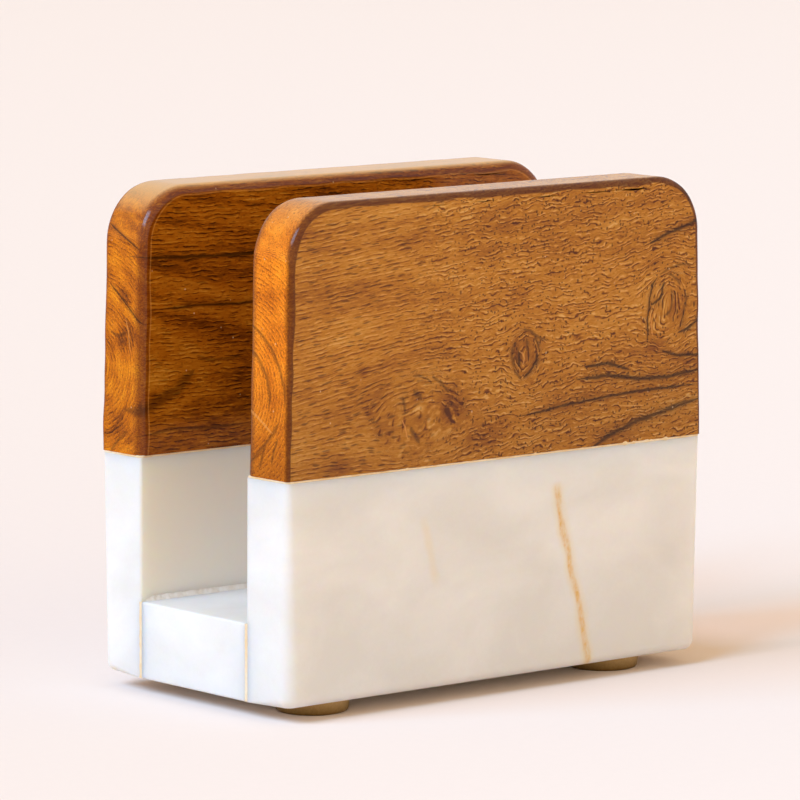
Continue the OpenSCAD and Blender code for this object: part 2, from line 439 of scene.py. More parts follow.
def tree_fields(points, log):
    """Where each point of a panel lies in its tree, as mesh fields.

    fibre is (along, across, depth) in mm: across is z less the rise of the fibres, and near a knot it
    is pressed together by pull / (1 + d^2.4), where d is the distance in knot radii. ring is the
    distance from the pith. knot is (distance outside the nearest knot's outline, its share, stain).
    stroke_a, b and c hold, for each channel, the distance from the nearest stroke over its half
    width, which tapers to nothing at the stroke's ends and STROKE_DEPTH into the wood, and is 90 far
    from any stroke. figure is how curly the grain is.
    """
    x, y, z = points.T
    across = z - log["rise"] * x
    outside = np.full(len(x), 12.0)
    share = np.zeros(len(x))
    for outline, pull, strength in log["knots"]:
        low, high = np.min(outline, 0), np.max(outline, 0)
        centre, half = (low + high) / 2, (high - low) / 2
        away = np.hypot((x - centre[0]) / half[0], (z - centre[1]) / half[1])
        across = across - pull * (z - centre[1]) / (1 + away**2.4)
        gap, _ = path_distance(x, z, outline + outline[:1])
        share = np.where(gap < outside, strength * np.clip(1 - (gap - 1) / 3, 0, 1), share)
        outside = np.minimum(outside, gap)
    stain = np.zeros(len(x))
    for centre_x, centre_z, half_w, half_h, dark in log["stains"]:
        away = np.hypot((x - centre_x) / half_w, (z - centre_z) / half_h)
        stain = stain + dark * np.exp(-(away**2))
    pith_y = log["pith_y"] + log["pith_drift"] * x
    far = 90.0
    channels = np.full((9, len(x)), far)
    deep = np.clip(1 - (y - y.min()) / STROKE_DEPTH, 0.01, 1)
    on_end = x < x.min() + 2
    for kind, level, depth, wanted in (("strokes", x, deep, True), ("end_strokes", y, 1, on_end)):
        for channel, half_w, path in log[kind]:
            gap, reach = path_distance(level, z, path)
            taper = np.clip(7 * reach * (1 - reach), 0.01, 1) * depth
            widths = np.where(wanted, np.clip(gap / (half_w * taper), -far, far), far)
            channels[channel] = np.where(abs(widths) < abs(channels[channel]), widths, channels[channel])
    from_x, to_x, plain, curly = log["figure"]
    rise = np.clip((x - from_x) / (to_x - from_x), 0, 1)
    return {
        "fibre": np.stack([x, across, y], -1),
        "ring": np.hypot(y - pith_y, across - log["pith_z"]),
        "knot": np.stack([outside, share, stain], -1),
        "stroke_a": channels[:3].T,
        "stroke_b": channels[3:6].T,
        "stroke_c": channels[6:].T,
        "figure": plain + (curly - plain) * rise * rise * (3 - 2 * rise),
    }


def panel_outline(half_l, low, high, lean, corner, spacing):
    """Half outline of a panel in X and Z, from its foot to the start of its flat top.

    The end is the straight line from the foot that touches the corner arc, whose centre is lean +
    corner in from the foot and corner down from the top. Gives points, outward normals, and the
    share of the height of the corner's centre, from 0 to 1.
    """
    centre = np.array([half_l - lean - corner, high - corner])
    reach = np.hypot(lean + corner, centre[1] - low)
    start = math.acos(corner / reach) - math.atan2(centre[1] - low, lean + corner)
    touch = centre + corner * np.array([math.cos(start), math.sin(start)])
    up = np.linspace(0, 1, round((touch[1] - low) / spacing) + 1)[:-1]
    foot = np.array([half_l, low])
    side = foot + up[:, None] * (touch - foot)
    turn = np.linspace(start, math.pi / 2, round(corner * math.pi / 2 / spacing) + 1)
    arc = centre + corner * np.stack([np.cos(turn), np.sin(turn)], -1)
    angle = np.concatenate([up * start, turn])
    points = np.vstack([side, arc])
    share = np.clip((points[:, 1] - low) / (centre[1] - low), 0, 1)
    return points, np.stack([np.cos(angle), np.sin(angle)], -1), share


def panel_surface(low, high, sizes, seed):
    """Board on its lower edge, whose outer side is its low Y side.

    Its outline is carried across the thickness by a profile: in the plane of the outer face, round
    the outer edge, across, round the slot edge, and in the plane of the inner face. Each face is a
    grid that runs from the outline's left half to its right half. Gives points, faces, and a field
    of three values: how far round the outer edge a point lies, as an angle of 0 to pi / 2 that runs
    on as distance over the edge's radius, the share of end grain, and how far round the slot edge.
    """
    corner, lean = sizes.corner_radius / MM, sizes.end_lean / MM
    spacing = sizes.mesh_step / MM
    half, normal, share = panel_outline(high[0], low[2], high[2], lean, corner, spacing)
    across = round(2 * half[-1, 0] / spacing)
    top = np.linspace(-half[-1, 0], half[-1, 0], across + 1)[1:-1]
    mirror = np.array([-1, 1])
    line = np.vstack([half * mirror, np.stack([top, np.full(len(top), high[2])], -1), half[::-1]])
    out = np.vstack([normal * mirror, np.tile([0, 1], (len(top), 1)), normal[::-1]])
    level = np.concatenate([share, np.ones(len(top)), share[::-1]])
    turn = np.linspace(0, 1, len(line), endpoint=False)
    hand = 1 + 0.12 * wobble(turn, 24, seed)
    joint_r, top_r = sizes.edge_at_joint / MM, sizes.edge_at_top / MM
    outer_r = (joint_r + (top_r - joint_r) * level) * hand
    inner_r = sizes.edge_at_slot / MM * (1 + 0.06 * wobble(turn, 18, seed + 1))
    bend = np.linspace(0, math.pi / 2, sizes.edge_steps + 1)[:, None]
    flat = np.linspace(0, 1, 14)[1:-1, None]
    still = 0 * outer_r
    outer_in = np.vstack([outer_r + 1, outer_r + 0.4, outer_r * (1 - np.sin(bend))])
    outer_y = low[1] + np.vstack([still, still, outer_r * (1 - np.cos(bend))])
    inner_in = np.vstack([inner_r + 0.8, inner_r + 0.3, inner_r * (1 - np.sin(bend))])[::-1]
    inner_y = high[1] - np.vstack([still, still, inner_r * (1 - np.cos(bend))])[::-1]
    between = outer_y[-1] + (inner_y[0] - outer_y[-1]) * flat
    inset = np.vstack([outer_in, np.zeros((len(flat), len(line))), inner_in])
    depth = np.vstack([outer_y, between, inner_y])
    place = line - inset[..., None] * out
    place[:, [0, -1], 1] = low[2]
    strip = np.stack([place[..., 0], depth, place[..., 1]], -1)
    wrap = np.vstack([[[0], [0]], np.sin(bend), 0 * flat + 1, np.sin(bend)[::-1], [[0], [0]]])
    end = wrap * np.abs(out[:, 0])
    start = np.array([[-1], [-0.4]])
    round_outer = np.vstack([start / outer_r, bend + still])
    round_inner = np.vstack([start / inner_r, bend + still])
    past_outer = (depth[len(round_outer) :] - outer_y[-1]) / outer_r
    past_inner = (inner_y[0] - depth[::-1][len(round_inner) :]) / inner_r
    on_outer = np.vstack([round_outer, math.pi / 2 + past_outer])
    on_inner = np.vstack([round_inner, math.pi / 2 + past_inner])
    finish = np.stack([on_outer, end, on_inner[::-1]], -1)

    rings, columns = strip.shape[:2]
    rows = len(half)
    index = np.arange(rings * columns).reshape(rings, columns)
    points = [strip.reshape(-1, 3)]
    faces = [quads(index)]
    count = index.size
    inner = (rows - 1, across - 1)
    grids = []
    for ring in (0, rings - 1):
        left = strip[ring, :rows]
        right = strip[ring, ::-1][:rows]
        part = np.linspace(0, 1, across + 1)[None, 1:-1, None]
        inside = left[:-1, None] + part * (right - left)[:-1, None]
        grid = np.empty((rows, across + 1), int)
        grid[:, 0] = index[ring, :rows]
        grid[:, -1] = index[ring, ::-1][:rows]
        grid[-1, 1:-1] = index[ring, rows : rows + across - 1]
        grid[:-1, 1:-1] = count + np.arange(math.prod(inner)).reshape(inner)
        count += math.prod(inner)
        points.append(inside.reshape(-1, 3))
        faces.append(quads(grid))
        grids.append(grid)
    underside = [grids[0][0], index[1:-1, -1], grids[1][0, ::-1], index[1:-1, 0][::-1]]
    # A face's own points lie 3 radii before its own edge and 9 past the other
    on_faces = np.repeat([[-3.0, 0, 9.0], [9.0, 0, -3.0]], math.prod(inner), axis=0)
    finish = np.vstack([finish.reshape(-1, 3), on_faces])
    return np.vstack(points), np.vstack(faces).tolist() + [np.concatenate(underside).tolist()], finish


def lacquered_wood(name, log, tones):
    """Rosewood-like hardwood, sawn, sanded and lacquered: brown bands that follow the growth rings,
    fine darker fibres, short dark pores a third of a millimetre wide, and darker stain on the edges."""
    material, add = new_material(name)
    fibre, knot, finish = (
        add("Attribute", out="Vector", attribute_name=field) for field in ("fibre", "knot", "finish")
    )
    ring, figure = (add("Attribute", out="Fac", attribute_name=field) for field in ("ring", "figure"))
    outside, knot_share, stain = add("SeparateXYZ", knot).node.outputs
    round_outer, end_share, round_slot = add("SeparateXYZ", finish).node.outputs
    seeded = add("VectorMath.ADD", fibre, (log["seed"] * 40, log["seed"] * 7, 0))

    # The fibres wander by up to 0.8 mm over 5 mm where the grain is curly, and less where it is plain
    drift = pattern(add, seeded, (5, 3.2, 3.2), out="Color", Detail=2)
    drift = add("VectorMath.SUBTRACT", drift, (0.5, 0.5, 0.5))
    reach = add("Math.MULTIPLY_ADD", figure, 3.0, 0.7)
    drift = add("VectorMath.MULTIPLY", drift, reach)
    drift = add("VectorMath.MULTIPLY", drift, (0.0, 1.0, 1.0))
    wandering = add("VectorMath.ADD", seeded, drift)
    across = add("SeparateXYZ", wandering, out="Y")
    ring = add("Math.ADD", ring, add("SeparateXYZ", drift, out="Y"))

    # Growth rings about 3 mm apart, uneven in strength
    ring_place = add("CombineXYZ", add("Math.MULTIPLY", ring, 1 / 2.4))
    along = add("VectorMath.MULTIPLY", wandering, (1 / 60, 1 / 9, 1 / 9))
    ring_place = add("VectorMath.ADD", ring_place, along)
    bands = add("TexNoise", {"Vector": ring_place, "Scale": 1, "Detail": 2, "Roughness": 0.55})
    # Fibres 0.45 mm across and about 7 mm long, and broad clouds of tone
    fibres = pattern(add, wandering, (7, 0.45, 0.45), Detail=3, Roughness=0.65)
    clouds = pattern(add, seeded, (24, 9, 9), Detail=1)

    # Inside a knot the lines run round it
    wobbly = pattern(add, seeded, (3.5, 3.5, 3.5), Detail=2)
    shell = add("Math.MULTIPLY_ADD", wobbly, 3.0, outside)
    within = add("Math.MULTIPLY", add("MapRange", outside, 1.2, 0.2), knot_share)

    # Thin wavy lines 1.1 mm apart that follow the fibres, and the rings on the end grain. They are
    # broken into lengths of a few mm, and each has a pale line above it.
    line_place = add("Mix", end_share, {NUMBER_A: across, NUMBER_B: ring})
    line_place = add("Mix", within, {NUMBER_A: line_place, NUMBER_B: shell})
    wave = add("Math.FRACT", add("Math.MULTIPLY", line_place, 1 / 1.1))
    patches = pattern(add, seeded, (2.6, 0.9, 0.9), Detail=1)
    broken = add("MapRange", patches, 0.44, 0.58)
    clearer = add("Math.MULTIPLY_ADD", figure, 0.55, 0.9)
    clearer = add("Mix", end_share, {NUMBER_A: clearer, NUMBER_B: 0.8})
    broken = add("Math.MULTIPLY", broken, clearer)
    dark_line, pale_line = (
        add("Math.MULTIPLY", ridge(add, wave, middle, wide, 0.04), broken)
        for middle, wide in ((0.3, 0.19), (0.66, 0.22))
    )

    # The shares are chosen so that the tone's middle is 0.5
    contrast = tones["band_contrast"]
    tone = add("Math.MULTIPLY_ADD", bands, contrast, 0.5 - 0.5 * (contrast + 1.3))
    for value, share in (
        (fibres, 0.8), (clouds, 0.5), (dark_line, -0.36), (pale_line, 0.24), (stain, -0.3), (within, -0.1),
    ):
        tone = add("Math.MULTIPLY_ADD", value, share, tone)
    ramp = add("ValToRGB", tone).node
    stops = ramp.color_ramp.elements
    first, *inner, last = [(*linear(code), 1) for code in tones["ramp"]]
    stops[0].color, stops[1].color = first, last
    for place, tint in zip((0.25, 0.5, 0.75), inner):
        stops.new(place).color = tint

    # Pores: dashes 3 mm long and 0.4 mm high in plain grain, dots 0.5 mm wide where it is curly
    dashes = pattern(add, wandering, (5.5, 0.8, 0.8), "TexVoronoi", "Distance")
    dashes = add("MapRange", dashes, 0.32, 0.18, 0, 0.8)
    dots = pattern(add, wandering, (1.3, 1.05, 1.05), "TexVoronoi", "Distance")
    dots = add("MapRange", dots, 0.3, 0.18)
    plain = add("Math.SUBTRACT", 1.15, figure, use_clamp=True)
    dashes = add("Math.MULTIPLY", dashes, plain)
    dots = add("Math.MULTIPLY", dots, figure)
    softer = add("MapRange", end_share, 0, 1, 0.8, 0.45)
    pores = add("Math.MULTIPLY", add("Math.MAXIMUM", dashes, dots), softer)
    colour = layered(add, ramp.outputs[0], (pores, tones["pore"]))

    # End grain takes an orange tint that is partly painted light, brighter as if the ends caught more of the
    # lamp, and both it and the faces darken over the lowest 26 mm
    foot_tone = add("Mix", end_share, {NUMBER_A: tones["face_foot"], NUMBER_B: tones["end_foot"]})
    foot_level = log["seed"] * 7 + 68
    fade = add("MapRange", across, foot_level, foot_level + 26, foot_tone, 1.0)
    end_tinted_lit = add("VectorMath.MULTIPLY", colour, tones["end_tint_and_light"])
    colour = layered(add, colour, (end_share, end_tinted_lit))
    colour = add("VectorMath.MULTIPLY", colour, fade)

    # Strokes: the nearest crack, in a brown halo, the nearest faint line, and pale lines that filler
    # has whitened
    rough = add("Math.MULTIPLY_ADD", fibres, 2.6, -1.3)
    channels = []
    for field in ("stroke_a", "stroke_b", "stroke_c"):
        value = add("Attribute", out="Vector", attribute_name=field)
        value = add("VectorMath.ABSOLUTE", add("VectorMath.ADD", value, rough))
        channels += add("SeparateXYZ", value).node.outputs
    nearest = []
    for group in (channels[:STRONG_CHANNELS], channels[STRONG_CHANNELS:LIGHT_CHANNEL]):
        least = group[0]
        for channel in group[1:]:
            least = add("Math.MINIMUM", least, channel)
        nearest.append(least)
    halo = add("MapRange", nearest[0], 4.5, 1.0, 0, 0.24)
    stroke = add("MapRange", nearest[0], 1.3, 0.4, 0, 0.8)
    faint = add("MapRange", nearest[1], 1.5, 0.4, 0, 0.52)
    whitened = add("MapRange", channels[LIGHT_CHANNEL], 1.1, 0.5, 0, 0.5)
    # Pale specks 0.4 mm wide, about 5 mm apart: white dust caught in pores, and painted glints of light
    specks = pattern(add, seeded, (5.2, 5.2, 5.2), "TexVoronoi", "Distance")
    specks = add("MapRange", specks, 0.06, 0.02, 0, 0.6)

    # Stain that pools on the eased edges between two ragged bounds, darker where the wood is stained,
    # and a pale line beside the slot edge. The band round the slot edge is thin along the top.
    ragged = add("Math.MULTIPLY_ADD", fibres, 0.5, -0.25)
    streaks = add("MapRange", fibres, 0.3, 0.7, 1.0, tones["edge_streak"])
    slot_reach = add("MapRange", end_share, 0, 0.7, 0.35, 1.35)
    edges = []
    for turned, reach in ((round_outer, 1.25), (round_slot, slot_reach)):
        turned = add("Math.ADD", turned, ragged)
        begun = add("MapRange", turned, -0.1, 0.08)
        ended = add("MapRange", add("Math.SUBTRACT", turned, reach), 0.75, -0.2)
        edges.append(add("Math.MULTIPLY", begun, ended))
    outer_edge, slot_edge = edges
    pooled = add("Math.MULTIPLY", add("Math.MAXIMUM", outer_edge, slot_edge), streaks)
    pooled = add("Math.MULTIPLY", pooled, tones["edge_strength"])
    pale_tone = add("Math.MULTIPLY", ridge(add, round_slot, -0.16, 0.16, 0.04, 0.6), fibres)
    darker = add("MapRange", stain, 0, 1, 1.0, 0.25)
    edge_tint = add("VectorMath.MULTIPLY", linear(tones["edge"]), darker)

    # Painted reflection: the tops are paled towards a light peach, as if they mirrored the backdrop at a
    # grazing angle. The lacquer is also thicker on the tops, where it was laid on flat.
    facing_up = add("SeparateXYZ", add("NewGeometry", out="Normal"), out="Z")
    on_top = add("MapRange", facing_up, 0.5, 0.95)
    on_top = add("Math.MULTIPLY", on_top, add("MapRange", round_outer, 1.1, 1.7))
    painted_top_sheen = add("Math.MULTIPLY", on_top, add("Math.SUBTRACT", 1.0, slot_edge))
    painted_top_sheen = add("Math.MULTIPLY", painted_top_sheen, tones["top_sheen_strength"])
    thick = add("Math.MAXIMUM", on_top, slot_edge)
    colour = layered(
        add, colour, (pooled, edge_tint), (halo, tones["halo"]), (stroke, tones["split"]),
        (faint, tones["split"]), (pale_tone, tones["pale_tone"]), (whitened, tones["pale_tone"]),
        (specks, tones["dust"]), (painted_top_sheen, tones["top"]),
    )
    finish_material(
        add, colour, add("Math.MULTIPLY_ADD", pores, -0.6, fibres), 0.3, 0.1,
        {
            "Roughness": 0.6,
            "Specular IOR Level": 0.0,
            "Coat Weight": add("MapRange", thick, 0, 1, 0.5, 0.7),
            "Coat Roughness": 0.15,
            "Coat IOR": 1.5,
        },
    )
    return material


# ---------------------------------------------------------------- marble


def slab_surface(low, high, sizes):
    """Slab whose outer side is its low Y side: a stack of rounded plans.

    The outer corner radius grows evenly from the joint down. At height e * (1 - cos a) the plan lies
    e * (1 - sin a) inside its outline, which eases the bottom by e, and e is small at the slot side.
    """
    steps, support = 12, 0.5
    ease, slot_ease, top_ease = sizes.edge_under / MM, 0.3, 0.15
    bend = np.linspace(0, math.pi / 2, 9)[:, None]
    _, normal, is_low = rounded_plan(high[0], low[1], high[1], 2, 1, steps, support)
    own_ease = np.where(is_low, ease, slot_ease)
    foot_in = np.vstack([own_ease + support, own_ease * (1 - np.sin(bend))])
    foot_z = low[2] + np.vstack([0 * own_ease, own_ease * (1 - np.cos(bend))])
    climb = np.linspace(0, 1, 13)[1:-1, None]
    side_z = foot_z[-1] + (high[2] - top_ease - foot_z[-1]) * climb
    top_in = np.vstack([top_ease * (1 - np.cos(bend[::2])), [[top_ease + support]]])
    top_z = high[2] - np.vstack([top_ease * (1 - np.sin(bend[::2])), [[0]]])
    wide = np.ones(len(normal))
    inset = np.vstack([foot_in, 0 * side_z, top_in * wide])
    z = np.vstack([foot_z, side_z, top_z * wide])
    level = (z.mean(1, keepdims=True) - low[2]) / (high[2] - low[2])
    outer_r = (sizes.edge_at_foot + (sizes.edge_at_joint - sizes.edge_at_foot) * level) / MM
    inner_r = np.full_like(outer_r, sizes.edge_at_slot / MM)
    plan, _, _ = rounded_plan(high[0], low[1], high[1], outer_r, inner_r, steps, support)
    plan = plan - inset[..., None] * normal
    return skin(np.concatenate([plan, z[..., None]], -1))


def block_surface(low, high, edge):
    """Block: a rectangle in X and Z with small rounded corners, drawn out along Y."""
    plan, _, _ = rounded_plan(high[0], low[2], high[2], edge, edge, 5, 0.4)
    depth = np.linspace(low[1], high[1], 9)
    x, z = np.broadcast_to(plan, (len(depth), *plan.shape)).transpose(2, 0, 1)
    return skin(np.stack([x, np.broadcast_to(depth[:, None], x.shape), z], -1))


def vein_masks(add, place, x, z):
    """Masks of the veins of the front slab: the pale halos of both, and the core of the orange one.

    The orange vein's middle is a curve of X over Z through VEIN_PATH. The faint vein runs straight
    down from (-25.3, 48.1) to (-21.6, 31.2) in X and Z. Both stray by up to about a millimetre.
    """
    low_x, low_z = np.min(VEIN_PATH, 0)
    high_x, high_z = np.max(VEIN_PATH, 0)
    path = add("FloatCurve", {"Value": add("MapRange", z, low_z, high_z)}).node
    curve = path.mapping.curves[0]
    lowest, *between, highest = [
        ((spot_z - low_z) / (high_z - low_z), (spot_x - low_x) / (high_x - low_x))
        for spot_x, spot_z in VEIN_PATH[::-1]
    ]
    curve.points[0].location, curve.points[1].location = lowest, highest
    for spot in between:
        curve.points.new(*spot)
    path.mapping.update()
    middle = add("Math.MULTIPLY_ADD", path.outputs[0], high_x - low_x, low_x)
    stray = pattern(add, place, (5, 5, 7), Detail=4, Roughness=0.6)
    stray = add("Math.MULTIPLY_ADD", stray, 2.4, -1.2)
    away = add("Math.ADD", add("Math.SUBTRACT", x, middle), stray)
    away = add("Math.ABSOLUTE", away)
    specks = pattern(add, place, (1.8, 1.8, 3.6), Detail=3, Roughness=0.7)
    specks = add("MapRange", specks, 0.34, 0.66, 0.15, 0.95)
    halo = add("MapRange", away, 3.4, 0.2, 0, 0.36, interpolation_type="SMOOTHSTEP")
    core = add("MapRange", away, 1.5, 0.2, interpolation_type="SMOOTHSTEP")
    core = add("Math.MULTIPLY", core, specks)
    below_joint = add("MapRange", z, high_z - 1, high_z - 3)
    halo, core = (add("Math.MULTIPLY", mask, below_joint) for mask in (halo, core))
    aside = add("Math.ADD", x, add("Math.MULTIPLY_ADD", z, 0.219, 14.8))
    aside = add("Math.ABSOLUTE", add("Math.ADD", aside, stray))
    second = add("MapRange", aside, 2.2, 0.2, 0, 0.22, interpolation_type="SMOOTHSTEP")
    second = add("Math.MULTIPLY", second, ridge(add, z, 39.6, 10.0, 6.0))
    return add("Math.ADD", halo, second), core


def honed_marble(name, wall):
    """White marble, sawn and honed: nearly white, with faint grey clouds and crystals under a
    millimetre across. The front slab has an orange iron vein, 2 to 3 mm wide, and a faint one, and
    painted shade greys it towards its foot. The back slab is painted creamier on the slot's side, as
    if lit by warm light bounced from the wood."""
    material, add = new_material(name)
    place = place_in_mm(add)
    clouds = pattern(add, place, (34, 30, 22), Detail=3, Roughness=0.5, Distortion=0.6)
    crystals = pattern(add, place, (0.9, 0.9, 0.9), Detail=2)
    tone = add("Math.MULTIPLY_ADD", crystals, 0.12, clouds)
    x, _, z = add("SeparateXYZ", place).node.outputs
    if wall == "front":
        # Painted shade: the front slab greys over its lowest 40 mm, as if less light reached its foot
        tone = add("Math.ADD", tone, add("MapRange", z, 40.0, 6.0, 0, 0.18))
    colour = layered(add, STONE, (add("MapRange", tone, 0.4, 0.82), CLOUD))
    if wall == "front":
        halo, core = vein_masks(add, place, x, z)
        colour = layered(add, colour, (halo, VEIN_HALO), (core, VEIN))
    # Painted light: the faces towards the slot take a cream tint, as if lit by warm light bounced from the wood
    if wall == "back":
        facing = add("NewGeometry", out="Normal")
        facing_slot = add("VectorMath.DOT_PRODUCT", facing, (0, -1, 0), out="Value")
        colour = layered(add, colour, (add("MapRange", facing_slot, 0.3, 0.95), SLOT_WARM_LIGHT))
    finish_material(
        add, colour, crystals, 0.15, 0.1,
        {
            "Roughness": 0.42,
            "IOR": 1.5,
            "Specular IOR Level": 0.4,
            "Subsurface Weight": 0.6,
            "Subsurface Radius": (1.0, 0.75, 0.5),
            "Subsurface Scale": 0.009,
        },
    )
    return material


# ---------------------------------------------------------------- adhesive


def panel_joint_surface(low, high, sizes, seed):
    """Adhesive layer in the joint of a wall, with a ragged rim.

    The rim is half an ellipse carried round the joint: it stands out by its width and reaches up and
    down by its height, which both vary along the joint and gain tall * exp(-d^2) at each blob, where d
    is the distance along X in half widths. Inside it the layer is flat.
    """
    edge, _, _ = rounded_plan(high[0], low[1], high[1], sizes.joint_corner / MM, 1.2, 8, 0.5)
    line, out = even_loop(edge, 900)
    turn = np.linspace(0, 1, len(line), endpoint=False)
    fine, coarse = (np.clip(wobble(turn, waves, seed + i), -1, 1) for i, waves in enumerate((260, 90)))
    lumps = fine * 0.5 + coarse * 0.5
    blobs = 0 * turn
    for place, half_w, tall in PANEL_JOINT_BLOBS:
        away = np.hypot((line[:, 0] - place) / half_w, np.clip(line[:, 1] - low[1] - 1, 0, None))
        blobs = blobs + tall * np.exp(-(away**2))
    width = 0.15 + 0.06 * lumps + 0.2 * blobs
    up = 0.29 + 0.14 * lumps + 0.4 * blobs
    down = 0.27 + 0.05 * np.roll(lumps, 31) + 0.25 * blobs
    bend = np.linspace(-math.pi / 2, math.pi / 2, 9)[:, None]
    middle = (low[2] + high[2]) / 2
    tall = np.where(bend > 0, up, down)
    rim_out = np.vstack([0 * width - 1.5, width * np.cos(bend) - 0.06, 0 * width - 1.5])
    rim_z = middle + np.vstack([0 * up - 0.25, tall * np.sin(bend), 0 * up + 0.25])
    plan = line + rim_out[..., None] * out
    return skin(np.concatenate([plan, rim_z[..., None]], -1))


def floor_joint_surface(low, high, groove, seed):
    """Upright adhesive layer beside the floor block, whose slab lies at its low Y side.

    Its plan is a thin strip with a wider head at each end that fills the groove of the slab's eased
    edge. Head width and recess vary with height.
    """
    rise = np.linspace(0, 1, 70)
    z = low[2] + (high[2] - low[2]) * rise
    middle, thin = (low[1] + high[1]) / 2, (high[1] - low[1]) / 2
    sections = []
    for end in (-1, 1):
        recess = 0.04 + 0.02 * wobble(rise, 9, seed + end)
        head = thin + groove * (0.85 + 0.15 * wobble(rise, 12, seed + 3 + end))
        x_face, x_neck = end * (high[0] + 0.1 - recess), end * (high[0] - 1.1)
        sides = [(x_neck, middle - thin), (x_face, middle - head), (x_face - end * 0.05, middle),
                 (x_face, middle + thin + 0.05), (x_neck, middle + thin)]
        section = [np.stack([x + 0 * z, y + 0 * z], -1) for x, y in sides]
        sections += section if end < 0 else section[::-1]
    plan = np.stack(sections, 1)
    return skin(np.concatenate([plan, np.broadcast_to(z[:, None, None], (*plan.shape[:2], 1))], -1))


def bead_surface(low, high, seed):
    """Squeezed-out adhesive in the corner of the slot floor, whose slab lies at its low Y side.

    A hollow triangle is carried along X, and its width and height vary along it.
    """
    along = np.linspace(0, 1, 420)
    size = high[2] - low[2]
    lumps = 0.6 * wobble(along, 110, seed) + 0.4 * wobble(along, 40, seed + 1)
    tall = size * (1.0 + 0.16 * np.clip(lumps, -1, 1.2))
    wide = size * (1.0 + 0.2 * np.clip(wobble(along, 90, seed + 2), -1, 1))
    fade = np.clip(np.minimum(along, 1 - along) * 60, 0.15, 1)
    shape = np.array([(-0.3, -0.3), (1.0, -0.1), (0.62, 0.16), (0.36, 0.36), (0.16, 0.66), (-0.1, 1.0)])
    y = low[1] + shape[None, :, 0] * (wide * fade)[:, None]
    z = low[2] + shape[None, :, 1] * (tall * fade)[:, None]
    x = np.broadcast_to((low[0] + (high[0] - low[0]) * along)[:, None], y.shape)
    return skin(np.stack([x, y, z], -1))


def cured_adhesive(name, light, warm):
    """Two-part epoxy, squeezed out and cured: cream, slightly glossy and lumpy, yellower where it is
    thick, in patches of about 4 mm."""
    material, add = new_material(name)
    place = place_in_mm(add)
    patches = pattern(add, place, (4, 4, 4), Detail=3, Roughness=0.6)
    colour = layered(add, light, (add("MapRange", patches, 0.36, 0.66), warm))
    lumps = pattern(add, place, (0.4, 0.4, 0.4), Detail=2)
    finish_material(add, colour, lumps, 0.5, 0.2, {"Roughness": 0.35, "IOR": 1.5})
    return material


# ---------------------------------------------------------------- feet and dowels


def foot_surface(low, high, rim):
    """Pad: a profile turned about its middle, with a rounded lower rim and sides that taper down."""
    radius = (high[0] - low[0]) / 2
    bend = np.linspace(0, math.pi / 2, 9)
    taper, ease = 0.35, 0.25
    base = radius - taper - rim
    profile_r = np.concatenate([[base - 3], base + rim * np.sin(bend), [radius], [radius - ease]])
    profile_z = np.concatenate([[low[2]], low[2] + rim * (1 - np.cos(bend)), [high[2] - ease], [high[2]]])
    angle = np.linspace(0, 2 * math.pi, 96, endpoint=False)
    centre = (low + high) / 2
    x = centre[0] + profile_r[:, None] * np.cos(angle)
    y = centre[1] + profile_r[:, None] * np.sin(angle)
    return skin(np.stack([x, y, np.broadcast_to(profile_z[:, None], x.shape)], -1))


def moulded_rubber(name, dark, light):
    """Soft polyurethane bumper, moulded: olive brown, half glossy, with dust specks under a millimetre
    apart. Painted shade darkens it at the floor and painted light lightens it upwards."""
    material, add = new_material(name)
    place = place_in_mm(add)
    # Painted shade and light: dark at the floor and lighter up to 3.6 mm above it
    height = add("MapRange", add("SeparateXYZ", place, out="Z"), 0.2, 3.6)
    dust = add("TexNoise", {"Vector": place, "Scale": 1.4, "Detail": 3, "Roughness": 0.7})
    amount = add("Math.MULTIPLY_ADD", dust, 0.6, -0.3)
    amount = add("Math.ADD", height, amount, use_clamp=True)
    colour = layered(add, dark, (amount, light))
    finish_material(add, colour, dust, 0.1, 0.1, {"Roughness": 0.38, "IOR": 1.5})
    return material


def plain_beech(name, light, dark):
    """Beech dowel rod, turned and unfinished: pale, with short darker flecks 2 mm long along it."""
    material, add = new_material(name)
    flecks = pattern(add, place_in_mm(add), (0.5, 0.5, 3), Detail=2)
    colour = layered(add, light, (add("MapRange", flecks, 0.5, 0.7), dark))
    finish_material(add, colour, flecks, 0.2, 0.1, {"Roughness": 0.7})
    return material


# ---------------------------------------------------------------- stage


def turn_to(item, axes, place):
    """Turns an object so that its own X, Y and Z lie along the axes, and puts it in its place."""
    matrix = np.identity(4)
    matrix[:3, :3] = np.transpose(axes)
    matrix[:3, 3] = place
    item.matrix_world = Matrix(matrix.tolist())
    bpy.context.scene.collection.objects.link(item)


def left_lamp(name, colour, power, turn, rise, half_wide, half_tall):
    """Rectangular lamp at the left that faces the origin. turn is its direction from the left towards
    the front, rise its angle above the floor, and its half sizes are angles in degrees."""
    data = bpy.data.lights.new(name, "AREA")
    data.shape = "RECTANGLE"
    data.size = 2 * LAMP_DISTANCE * math.tan(math.radians(half_wide))
    data.size_y = 2 * LAMP_DISTANCE * math.tan(math.radians(half_tall))
    data.energy = power
    data.color = colour
    lamp = bpy.data.objects.new(name, data)
    lamp.visible_camera = False
    level = math.cos(rise)
    away = np.array([-math.cos(turn) * level, -math.sin(turn) * level, math.sin(rise)])
    side = np.cross((0, 0, 1), away)
    side /= np.linalg.norm(side)
    turn_to(lamp, (side, np.cross(away, side), away), LAMP_DISTANCE * away)


def paper_floor(name, colour):
    """Seamless studio paper, laid flat: matt, with a faint fibre mottle 3 mm across."""
    material, add = new_material(name)
    mottle = pattern(add, place_in_mm(add), (3, 3, 3), Detail=2)
    shade = add("MapRange", mottle, 0, 1, 0.99, 1.01)
    tint = add("VectorMath.MULTIPLY", colour, shade)
    add("OutputMaterial", {"Surface": add("BsdfDiffuse", {"Color": tint, "Roughness": 1.0})})
    return material


